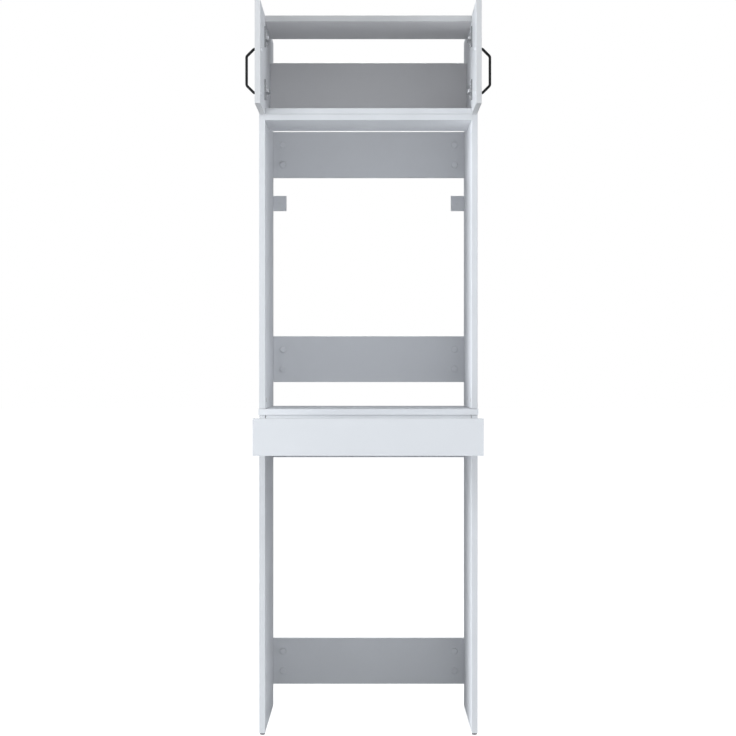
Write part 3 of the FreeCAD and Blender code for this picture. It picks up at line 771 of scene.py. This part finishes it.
def hinge_screws():
    """Screws that hold the plates on the sides, the flanges on the doors, and set the arms."""
    wings = [spot for side in (-1, 1) for spot in screw_places(side, PLATE_FACE, PLATE_LINE, WING_SCREW_RISE)]
    arms = [(side, ARM_FACE, y, z) for side in (-1, 1) for z in HINGE_HEIGHTS for y in ARM_SCREW_LINES]
    left, right = (screw_places(side, FLANGE_FACE, FLANGE_LINE, FLANGE_SCREW_RISE) for side in (-1, 1))
    for name, body, places in (
        ("hinge_screws", "carcass", wings + arms),
        ("left_flange_screws", "left_door", left),
        ("right_flange_screws", "right_door", right),
    ):
        spots = [(side * face, y, z) for side, face, y, z in places]
        facing = [(-side, 0, 0) for side, face, y, z in places]
        mesh = grow(name, cross_heads, HINGE_SCREW, nickel, spots, facing)
        finish_piece(name, mesh, body, "hinge_steel")


def bow_handle(name, body, side):
    """Handle of flat bar: the path runs from the lower foot over the grip to the upper foot."""
    lower = [(reach, -rise) for reach, rise in HANDLE_BOW]
    bow = lower + list(reversed(HANDLE_BOW))
    points = [(side * (DOOR_FACE + reach), HANDLE_LINE, HANDLE_MIDDLE + rise) for reach, rise in bow]
    mesh = grow(f"{name}_bow", bent_bar, HANDLE_BAR, finishes["black_metal"], points, joined=True)
    finish_piece(f"{name}_bow", mesh, body, "black_metal", name)


for node, slot in slot_of.items():
    if slot == "white_board":
        banded_board(node)
    elif slot in ("hinge_steel", "slide_steel"):
        softened(node)
    else:
        frame["nodes"][node].material_slots[0].material = finishes[slot]
cover_caps()
cleat_caps()
floor_glides()
cam_faces()
hinge_screws()
for door, side in (("left", -1), ("right", 1)):
    bow_handle(f"{door}_handle", f"{door}_door", side)
    screw_caps(f"{door}_screw_caps", f"{door}_door", side)


def studio_floor():
    even = {
        "Base Color": (FLOOR_GREY, FLOOR_GREY, FLOOR_GREY, 1),
        "Roughness": 0.9,
        "Emission Color": (1, 1, 1, 1),
    }
    material, tree, shader = new_material("pale_floor", even)
    ray = add_node(tree, "ShaderNodeLightPath").outputs["Is Camera Ray"]
    glow = maths(tree, "MULTIPLY", ray, FLOOR_GLOW)
    tree.links.new(glow, shader.inputs["Emission Strength"])
    shape = bmesh.new()
    bmesh.ops.create_grid(shape, x_segments=1, y_segments=1, size=FLOOR_HALF)
    floor = bpy.data.objects.new("studio_floor", plain_mesh("studio_floor", shape, material))
    bpy.context.scene.collection.objects.link(floor)


def softbox(name, azimuth, distance, height, size, watts):
    """A square softbox round the cabinet. Azimuth 0 is straight ahead of it, minus is to the left."""
    light = bpy.data.lights.new(name, "AREA")
    light.energy = watts
    light.color = LIGHT_TINT
    light.shape = "SQUARE"
    light.size = size
    turn = math.radians(azimuth)
    place = Vector((math.sin(turn) * distance, -math.cos(turn) * distance, height))
    lamp = bpy.data.objects.new(name, light)
    lamp.location = place
    lamp.rotation_euler = (Vector(LIGHT_AIM) - place).to_track_quat("-Z", "Y").to_euler()
    lamp.visible_camera = False
    bpy.context.scene.collection.objects.link(lamp)
    return lamp


def choose_pieces(lamp, state, names):
    """Keeps a softbox off some pieces, or on them alone."""
    pieces = bpy.data.collections.new(f"{lamp.name}_pieces")
    for name in names:
        pieces.objects.link(bpy.data.objects[name])
    lamp.light_linking.receiver_collection = pieces
    for piece in pieces.collection_objects:
        piece.light_linking.link_state = state


def white_room():
    """A white backdrop for the camera, and an even dim light from all round."""
    world = bpy.data.worlds.new("white_room")
    bpy.context.scene.world = world
    world.use_nodes = True
    tree = world.node_tree
    tree.nodes.clear()
    seen = add_node(tree, "ShaderNodeBackground", {"Color": (1, 1, 1, 1), "Strength": 1.0})
    glow = add_node(tree, "ShaderNodeBackground", {"Color": (*LIGHT_TINT, 1), "Strength": ROOM_LIGHT})
    ray = add_node(tree, "ShaderNodeLightPath").outputs["Is Camera Ray"]
    mix = add_node(tree, "ShaderNodeMixShader", {"Fac": ray, 1: glow.outputs[0], 2: seen.outputs[0]})
    add_node(tree, "ShaderNodeOutputWorld", {"Surface": mix.outputs[0]})


def level_camera():
    data = bpy.data.cameras.new("camera")
    data.lens = CAMERA_LENS
    data.sensor_width = CAMERA_SENSOR
    data.shift_x = CAMERA_SHIFT
    data.clip_end = CAMERA_REACH
    camera = bpy.data.objects.new("camera", data)
    camera.location = CAMERA_PLACE
    camera.rotation_euler = (math.pi / 2, 0, 0)
    bpy.context.scene.collection.objects.link(camera)
    bpy.context.scene.camera = camera


studio_floor()
for name, setting in SOFTBOXES.items():
    lamp = softbox(name, *setting)
    if name in LIT_PIECES:
        choose_pieces(lamp, *LIT_PIECES[name])
white_room()
level_camera()
bpy.context.scene.view_settings.view_transform = "Standard"
